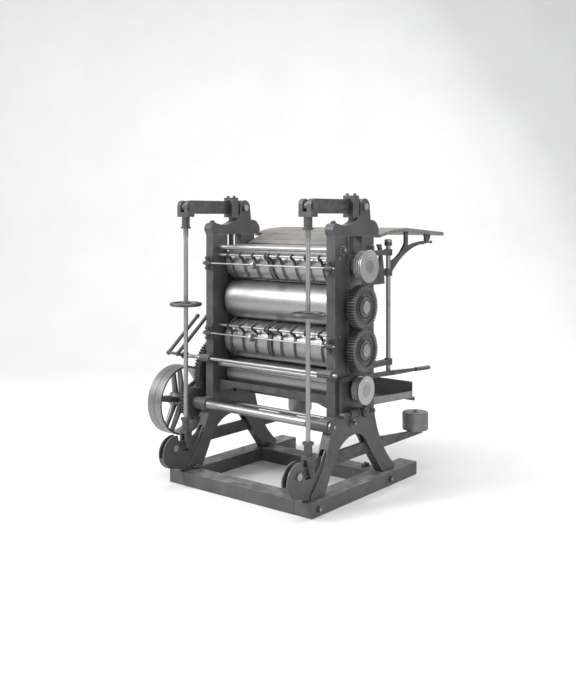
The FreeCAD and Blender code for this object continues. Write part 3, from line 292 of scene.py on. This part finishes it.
MATERIALS = {
    "base_iron": cast_iron("base_iron", (0.052, 0.052, 0.051),
                           (0.10, 0.099, 0.097), (0.24, 0.24, 0.24),
                           dust=0.42),
    "frame_paint": cast_iron("frame_paint", (0.036, 0.037, 0.038),
                             (0.075, 0.076, 0.078), (0.25, 0.25, 0.25),
                             rough=(0.34, 0.52)),
    "bearing_bronze": turned_steel("bearing_bronze", (0.08, 0.079, 0.077),
                                   (0.15, 0.148, 0.145), "X", (0.4, 0.55)),
    "forged_iron": forged("forged_iron", (0.055, 0.055, 0.056),
                          (0.115, 0.115, 0.117)),
    "bright_steel": turned_steel("bright_steel", (0.28, 0.28, 0.28),
                                 (0.42, 0.42, 0.42), "X", (0.34, 0.46), 0.2),
    "upright_steel": turned_steel("upright_steel", (0.27, 0.27, 0.27),
                                  (0.40, 0.40, 0.40), "Z", (0.34, 0.46), 0.2),
    "wheel_iron": forged("wheel_iron", (0.06, 0.06, 0.06), (0.12, 0.12, 0.12),
                         (0.34, 0.48)),
    "weight_iron": turned_steel("weight_iron", (0.16, 0.16, 0.16),
                                (0.28, 0.28, 0.28), "Z", (0.38, 0.54)),
    "polished_roll": turned_steel("polished_roll", (0.30, 0.30, 0.30),
                                  (0.40, 0.40, 0.40), "X", (0.34, 0.44), 0.15),
    "gear_iron": forged("gear_iron", (0.075, 0.075, 0.075), (0.15, 0.15, 0.15),
                        (0.36, 0.52)),
    "bright_disc": turned_steel("bright_disc", (0.38, 0.38, 0.38),
                                (0.54, 0.54, 0.54), "X", (0.34, 0.46), 0.15),
    "pulley_iron": turned_steel("pulley_iron", (0.18, 0.18, 0.18),
                                (0.32, 0.32, 0.32), "X", (0.36, 0.5)),
    "sheet_metal": sheet_iron("sheet_metal", (0.15, 0.15, 0.148),
                              (0.26, 0.26, 0.256)),
    "table_wood": boards("table_wood", (0.09, 0.084, 0.078),
                         (0.22, 0.208, 0.195), 0.155),
}
SPECIAL = {"tension_rod_left": "upright_steel",
           "tension_rod_right": "upright_steel",
           "table_posts": "upright_steel",
           "handwheel_left": "wheel_iron", "handwheel_right": "wheel_iron"}


def finish_node(node, slot):
    """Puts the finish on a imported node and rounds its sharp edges."""
    obj = NODES[node]
    name = SPECIAL.get(node, slot)
    obj.data.materials.clear()
    obj.data.materials.append(MATERIALS[name])
    if "custom_normal" in obj.data.attributes:
        obj.data.attributes.remove(obj.data.attributes["custom_normal"])
    if "sharp_edge" in obj.data.attributes:
        obj.data.attributes.remove(obj.data.attributes["sharp_edge"])
    obj.data.polygons.foreach_set("use_smooth", [True] * len(obj.data.polygons))
    weld = obj.modifiers.new("weld", "WELD")
    weld.merge_threshold = WELD_REACH
    bevel = obj.modifiers.new("edges", "BEVEL")
    bevel.width = EDGE_WIDTHS.get(slot, PLAIN_EDGE)
    bevel.segments = 2
    bevel.limit_method = "ANGLE"
    bevel.angle_limit = CRISP_ANGLE
    bevel.use_clamp_overlap = True
    bevel.harden_normals = False
    normals = obj.modifiers.new("normals", "WEIGHTED_NORMAL")
    normals.weight = 80


PLAIN_EDGE = 0.0012
EDGE_WIDTHS = {"frame_paint": 0.0035, "base_iron": 0.004, "table_wood": 0.002,
               "forged_iron": 0.0016, "gear_iron": 0.0006,
               "sheet_metal": 0.0006}


# Small fittings --------------------------------------------------------------

# Width across the flats of each kind of nut.
BIG_NUT = 0.030
SMALL_NUT = 0.016
SHAFT_NUT = 0.036
STAY_NUT_SHARE = 0.62

SCREW_PITCH = 0.0032
THREAD_RADIUS = 0.015
ROD_RADIUS = 0.013

CLAMP_REACH = 0.020
CLAMP_HALF = 0.028
CLAMP_HIGH = 0.016
FRONT_CLAMP_FROM_TOE = 0.262
REAR_CLAMP_FROM_HEEL = 0.075

STRIP_WIDE = 0.012
STRIP_GAP = 0.004
STRIP_THICK = 0.0015

SCREW_HEAD = (0.006, 0.0018)
TABLE_EDGE = 0.022
TABLE_SIDE = 0.08
TABLE_SCREWS = 5
TABLE_FALL = 0.032

TURNS = {
    "X": Matrix.Rotation(math.radians(90), 4, "Y"),
    "-X": Matrix.Rotation(math.radians(-90), 4, "Y"),
    "Y": Matrix.Rotation(math.radians(-90), 4, "X"),
    "-Y": Matrix.Rotation(math.radians(90), 4, "X"),
    "Z": Matrix.Identity(4),
}


def lathe(name, profile, at, axis, body, slot, segments=48, smooth=True):
    """Spins (height, radius) points round an axis from a point."""
    work = bmesh.new()
    rings = []
    for height, radius in profile:
        if radius <= 0:
            rings.append([work.verts.new((0, 0, height))])
            continue
        rings.append([
            work.verts.new((radius * math.cos(2 * math.pi * step / segments),
                            radius * math.sin(2 * math.pi * step / segments),
                            height)) for step in range(segments)])
    for low, high in zip(rings, rings[1:]):
        for step in range(segments):
            after = (step + 1) % segments
            corners = [low[step % len(low)], low[after % len(low)],
                       high[after % len(high)], high[step % len(high)]]
            face = list(dict.fromkeys(corners))
            if len(face) > 2:
                work.faces.new(face)
    for ring in (rings[0], rings[-1]):
        if len(ring) > 2:
            work.faces.new(ring)
    bmesh.ops.recalc_face_normals(work, faces=work.faces)
    return place(name, work, Matrix.Translation(at) @ TURNS[axis], body, slot,
                 smooth)


def place(name, work, matrix, body, slot, smooth=False, width=0.0):
    mesh = bpy.data.meshes.new(name)
    work.transform(matrix)
    bmesh.ops.recalc_face_normals(work, faces=work.faces)
    work.to_mesh(mesh)
    work.free()
    obj = bpy.data.objects.new(name, mesh)
    bpy.context.scene.collection.objects.link(obj)
    mesh.materials.append(MATERIALS[slot])
    if smooth:
        mesh.shade_smooth()
        mesh.set_sharp_from_angle(angle=SHADE_ANGLE)
    if width:
        bevel = obj.modifiers.new("edges", "BEVEL")
        bevel.width = width
        bevel.segments = 2
        bevel.limit_method = "ANGLE"
    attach(obj, body)
    return obj


def hex_nut(name, at, axis, across, body, slot="forged_iron"):
    """Chamfered six-sided nut on a washer, with the stud's end through it."""
    radius = across / math.sqrt(3)
    thick = 0.8 * across / 2
    lathe(name + "_washer", [(0, radius * 1.12), (0.0012, radius * 1.16),
                             (0.0022, radius * 1.12)], at, axis, body, slot)
    lathe(name, [(0.0022, radius * 0.96), (0.0032, radius),
                 (thick - 0.0012, radius), (thick, radius * 0.9)],
          at, axis, body, slot, segments=6, smooth=False)
    core = across * 0.29
    lathe(name + "_stud", [(thick * 0.5, core), (thick + 0.004, core),
                           (thick + 0.0055, core * 0.8)],
          at, axis, body, "bright_steel", segments=24)


def round_bolt(name, at, axis, radius, high, body, slot="forged_iron"):
    """Plain domed bolt head."""
    profile = [(0, radius), (0.55 * high, radius)]
    for step in range(1, 6):
        turn = step * math.pi / 10
        profile.append((0.55 * high + 0.45 * high * math.sin(turn),
                        radius * (0.55 + 0.45 * math.cos(turn))))
    profile.append((high, 0))
    lathe(name, profile, at, axis, body, slot, segments=32)


def block(name, low, high, body, slot, width=0.0015):
    """Rounded rectangular strip or plate between two corners."""
    low = Vector(low)
    high = Vector(high)
    work = bmesh.new()
    bmesh.ops.create_cube(work, size=1)
    size = high - low
    matrix = (Matrix.Translation((low + high) / 2)
              @ Matrix.Diagonal((size.x, size.y, size.z, 1)))
    return place(name, work, matrix, body, slot, width=width)


def thread(name, at, radius, start, end, pitch, body, slot):
    """Screw ridge that winds up a vertical rod between two heights."""
    turns = (end - start) / pitch
    steps = int(turns * 20)
    work = bmesh.new()
    last = None
    for step in range(steps + 1):
        angle = 2 * math.pi * turns * step / steps
        height = start + (end - start) * step / steps
        ring = []
        for out, up in ((-0.0004, -0.42), (0.0011, -0.06), (0.0011, 0.06),
                        (-0.0004, 0.42)):
            reach = radius + out
            ring.append(work.verts.new((at.x + reach * math.cos(angle),
                                        at.y + reach * math.sin(angle),
                                        height + up * pitch)))
        if last:
            for index in range(4):
                after = (index + 1) % 4
                work.faces.new([last[index], last[after], ring[after],
                                ring[index]])
        else:
            work.faces.new(ring)
        last = ring
    work.faces.new(list(reversed(last)))
    place(name, work, Matrix.Identity(4), body, slot)


def stay_fittings():
    """Nuts on the outer ends of every cross rod."""
    rods = [("top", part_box("top_stay"))]
    rods += [("cross%d" % index, pair)
             for index, pair in enumerate(solids("cross_stays"))]
    for tag, (low, high) in rods:
        middle = (low + high) / 2
        across = (high.z - low.z) * STAY_NUT_SHARE
        hex_nut("nut_%s_left" % tag, (low.x, middle.y, middle.z), "-X",
                across, "frame")
        hex_nut("nut_%s_right" % tag, (high.x, middle.y, middle.z), "X",
                across, "frame")


def cap_fittings():
    """Nose bolts on the crosshead caps and strips behind the windows."""
    for word, side in SIDES:
        low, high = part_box("frame_cap_" + word)
        x = (low.x + high.x) / 2
        hex_nut("nose_nut_" + word, (x, low.y + 0.043, low.z + 0.0735), "Z",
                BIG_NUT, "frame")
        blocks_low, blocks_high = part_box("bearing_blocks_" + word)
        outer = max(abs(low.x), abs(high.x))
        xs = sorted((side * outer, side * (outer + STRIP_THICK)))
        block("guide_strip_" + word,
              (xs[0], blocks_high.y + STRIP_GAP, blocks_low.z),
              (xs[1], blocks_high.y + STRIP_GAP + STRIP_WIDE,
               low.z - STRIP_GAP), "frame",
              "frame_paint", width=0.0006)


def stirrup_fittings():
    """Washers under the two bolt heads on each stirrup."""
    for word in WORDS:
        low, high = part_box("stirrup_" + word)
        x = (low.x + high.x) / 2
        y = (low.y + high.y) / 2
        for index, shift in enumerate((-0.026, 0.026)):
            lathe("stirrup_washer_%s_%d" % (word, index), [
                (0, 0.0096), (0, 0.0125), (0.0018, 0.0122), (0.0018, 0.0096)],
                (x + shift, y, high.z - 0.0121), "Z", "stirrup_" + word,
                "forged_iron")


def foot_fittings():
    """Clamp plates with nuts that hold the feet down on the base."""
    for word, side in SIDES:
        low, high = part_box("side_frame_" + word)
        inner = min(abs(low.x), abs(high.x))
        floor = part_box("base_side_beams")[1].z
        feet = (("front", low.y + FRONT_CLAMP_FROM_TOE),
                ("rear", high.y - REAR_CLAMP_FROM_HEEL))
        for edge, y in feet:
            xs = sorted((side * (inner - CLAMP_REACH), side * inner))
            block("foot_clamp_%s_%s" % (edge, word),
                  (xs[0], y - CLAMP_HALF, floor),
                  (xs[1], y + CLAMP_HALF, floor + CLAMP_HIGH),
                  "frame", "frame_paint")
            hex_nut("foot_nut_%s_%s" % (edge, word),
                    (side * (inner - CLAMP_REACH / 2), y, floor + CLAMP_HIGH),
                    "Z", SMALL_NUT, "frame")


def base_fittings():
    """Tie-bolt nuts on the front and rear of the side beams."""
    for low, high in solids("base_side_beams"):
        tag = "left" if low.x < 0 else "right"
        side = -1 if low.x < 0 else 1
        outer = low.x if side < 0 else high.x
        cross = solids("base_cross_beams")
        for index, (c_low, c_high) in enumerate(cross):
            y = (c_low.y + c_high.y) / 2
            hex_nut("base_nut_%s_%d" % (tag, index),
                    (outer, y, (low.z + high.z) / 2),
                    "-X" if side < 0 else "X", BIG_NUT, "frame")


def roll_end_fittings():
    """Raised rings and end caps on the gears and discs."""
    for index in (2, 3):
        low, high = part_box("roll_gear_%d" % index)
        middle = (low + high) / 2
        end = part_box("roll_%d" % index)[1].x
        body = "roll_%d_set" % index
        at = (high.x - 0.0005, middle.y, middle.z)
        lathe("hub_ring_%d" % index, [
            (-0.004, 0.0375), (-0.004, 0.057), (0.0025, 0.057),
            (0.0045, 0.054), (0.0045, 0.0405), (0.002, 0.0375)],
            at, "X", body, "gear_iron", segments=64)
        journal_cap("journal_cap_%d" % index, (end, middle.y, middle.z), 0.033,
                    body)
    for index in (1, 4):
        low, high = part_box("end_disc_%d" % index)
        middle = (low + high) / 2
        body = "roll_%d_set" % index
        lathe("disc_ring_%d" % index, [
            (-0.001, 0.046), (-0.001, 0.060), (0.0018, 0.058),
            (0.0018, 0.048)], (high.x, middle.y, middle.z), "X", body,
            "bright_disc", segments=64)
        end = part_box("roll_%d" % index)[1].x
        lathe("end_collar_%d" % index, [
            (-0.0030, 0.0345), (-0.0030, 0.0385), (-0.0006, 0.0375),
            (-0.0006, 0.0345)], (end, middle.y, middle.z), "X", body,
            "bright_steel")


def journal_cap(name, at, radius, body):
    """Chamfered end with a lathe centre in it."""
    lathe(name, [(-0.0010, radius), (0.0006, radius), (0.0016, radius - 0.002),
                 (0.0016, 0.006), (-0.0030, 0)], at, "X", body,
          "bright_steel", segments=48)


def rod_fittings():
    """Screw threads under each clevis and above each handwheel."""
    for word in WORDS:
        low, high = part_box("tension_rod_" + word)
        at = (low + high) / 2
        clevis_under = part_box("clevis_" + word)[0].z
        wheel_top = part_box("handwheel_" + word)[1].z
        body = "hanger_" + word
        thread("rod_thread_" + word, at, THREAD_RADIUS, high.z - 0.126,
               clevis_under - 0.002, SCREW_PITCH, body, "upright_steel")
        thread("wheel_thread_" + word, at, ROD_RADIUS, wheel_top + 0.002,
               wheel_top + 0.045, SCREW_PITCH, body, "upright_steel")


def lever_fittings():
    """Raised keys and rings on top of the weights."""
    for word in WORDS:
        low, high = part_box("counterweight_" + word)
        middle = (low + high) / 2
        block("weight_key_" + word, (middle.x - 0.011, middle.y - 0.002,
                                     high.z - 0.0015),
              (middle.x + 0.011, middle.y + 0.002, high.z + 0.0022),
              "lower_lever_" + word, "forged_iron", width=0.0006)
        lathe("weight_ring_" + word, [
            (-0.001, 0.022), (-0.001, 0.030), (0.0025, 0.029),
            (0.0025, 0.0235)], (middle.x, middle.y, high.z - 0.008), "Z",
            "lower_lever_" + word, "weight_iron")


def drive_fittings():
    """Shaft-end nut and a set screw in each pulley's hub."""
    low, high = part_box("drive_shaft")
    middle = (low + high) / 2
    hex_nut("shaft_nut", (high.x - 0.001, middle.y, middle.z), "X", SHAFT_NUT,
            "drive_line")
    hub_top = 0.0435
    for node, body in (("fast_pulley", "drive_line"),
                       ("loose_pulley", "idle_pulley")):
        p_low, p_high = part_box(node)
        round_bolt(node + "_screw_0",
                   ((p_low.x + p_high.x) / 2, middle.y, middle.z + hub_top),
                   "Z", 0.006, 0.006, body)


def bracket_fittings():
    """Nuts on the rod brackets and caps on the table posts."""
    for index, (low, high) in enumerate(solids("rod_brackets")):
        x = (low.x + high.x) / 2
        for spot, z in (("low", low.z + 0.014), ("high", high.z - 0.014)):
            hex_nut("bracket_nut_%d_%s" % (index, spot), (x, low.y + 0.002, z),
                    "-Y", SMALL_NUT, "frame")
    for index, (low, high) in enumerate(solids("table_posts")):
        middle = (low + high) / 2
        lathe("post_cap_%d" % index, [
            (-0.012, 0.0215), (-0.004, 0.0225), (0.001, 0.0215),
            (0.004, 0.012), (0.005, 0)], (middle.x, middle.y, high.z), "Z",
            "frame", "upright_steel")


def table_fittings():
    """Screws along the front and rear edges of the feed table."""
    low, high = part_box("feed_table")
    radius, rise = SCREW_HEAD
    span = high.x - low.x - 2 * TABLE_SIDE
    rows = (("", low.y + TABLE_EDGE, high.z - 0.0025),
            ("rear_", high.y - TABLE_EDGE, high.z + 0.0005 - TABLE_FALL))
    for index in range(TABLE_SCREWS):
        x = low.x + TABLE_SIDE + index * span / (TABLE_SCREWS - 1)
        for row, y, z in rows:
            round_bolt("table_screw_%s%d" % (row, index), (x, y, z), "Z",
                       radius, rise, "frame")


# Studio ----------------------------------------------------------------------

def area_light(name, at, target, size, power):
    data = bpy.data.lights.new(name, "AREA")
    data.size = size
    data.energy = power
    lamp = bpy.data.objects.new(name, data)
    lamp.location = at
    lamp.rotation_euler = (Vector(target) - Vector(at)).to_track_quat(
        "-Z", "Y").to_euler()
    bpy.context.scene.collection.objects.link(lamp)


def studio():
    """Pale floor that curves up into the backdrop, and soft lamps."""
    front, bend, curve, top, half = -9, 3.6, 1.6, 7, 9
    n = Nodes("studio_floor")
    tone = n.ramp(n.noise(1.5, 3), (0.3, (0.76, 0.76, 0.755)),
                  (0.7, (0.80, 0.80, 0.795)))
    n.link(tone, n.shader.inputs["Base Color"])
    n.set(Roughness=0.85)
    work = bmesh.new()
    facing = Vector((-math.sin(VIEW_TURN), math.cos(VIEW_TURN), 0))
    side = Vector((facing.y, -facing.x, 0))
    rows = [(front, 0), (bend, 0)]
    for step in range(1, 13):
        turn = step * math.pi / 24
        rows.append((bend + curve * math.sin(turn),
                     curve - curve * math.cos(turn)))
    rows.append((bend + curve, top))
    lines = []
    for forward, up in rows:
        lines.append([work.verts.new(facing * forward + side * across
                                     + Vector((0, 0, up - 0.0005)))
                      for across in (-half, half)])
    for low, high in zip(lines, lines[1:]):
        work.faces.new([low[0], low[1], high[1], high[0]])
    mesh = bpy.data.meshes.new("studio")
    work.to_mesh(mesh)
    work.free()
    mesh.shade_smooth()
    mesh.materials.append(n.material)
    floor = bpy.data.objects.new("studio", mesh)
    bpy.context.scene.collection.objects.link(floor)
    middle = (0, -0.23, 0.9)
    area_light("key", (-2.8, -4.8, 4.4), middle, 2.2, 330)
    area_light("fill", (4.4, -3.0, 2.4), middle, 3.0, 62)
    area_light("rim", (1.5, 4.2, 3.8), middle, 2.5, 170)
    area_light("top", (-0.4, -0.6, 4.8), middle, 3.0, 110)
    world = bpy.data.worlds.new("studio_world")
    world.use_nodes = True
    background = world.node_tree.nodes["Background"]
    background.inputs["Color"].default_value = (0.92, 0.93, 0.95, 1)
    background.inputs["Strength"].default_value = 0.55
    bpy.context.scene.world = world
    bpy.context.scene.view_settings.view_transform = "Standard"


VIEW_TURN = math.radians(38.85)
EYE = Vector((3.384, -4.523, 1.600))
FOCAL_OF_LONG_SIDE = 892 / 700
HORIZON_DROP = 133 / 700


def camera():
    """Level camera at eye height that looks at the gear side's front corner."""
    data = bpy.data.cameras.new("camera")
    data.sensor_width = 36
    data.lens = 36 * FOCAL_OF_LONG_SIDE
    data.shift_y = -HORIZON_DROP
    obj = bpy.data.objects.new("camera", data)
    obj.location = EYE
    obj.rotation_euler = (math.radians(90), 0, VIEW_TURN)
    bpy.context.scene.collection.objects.link(obj)
    bpy.context.scene.camera = obj


for part in frame["record"]["subparts"]:
    finish_node(part["node"], part["material_slot"])
stay_fittings()
cap_fittings()
stirrup_fittings()
foot_fittings()
base_fittings()
roll_end_fittings()
rod_fittings()
lever_fittings()
drive_fittings()
bracket_fittings()
table_fittings()
studio()
camera()
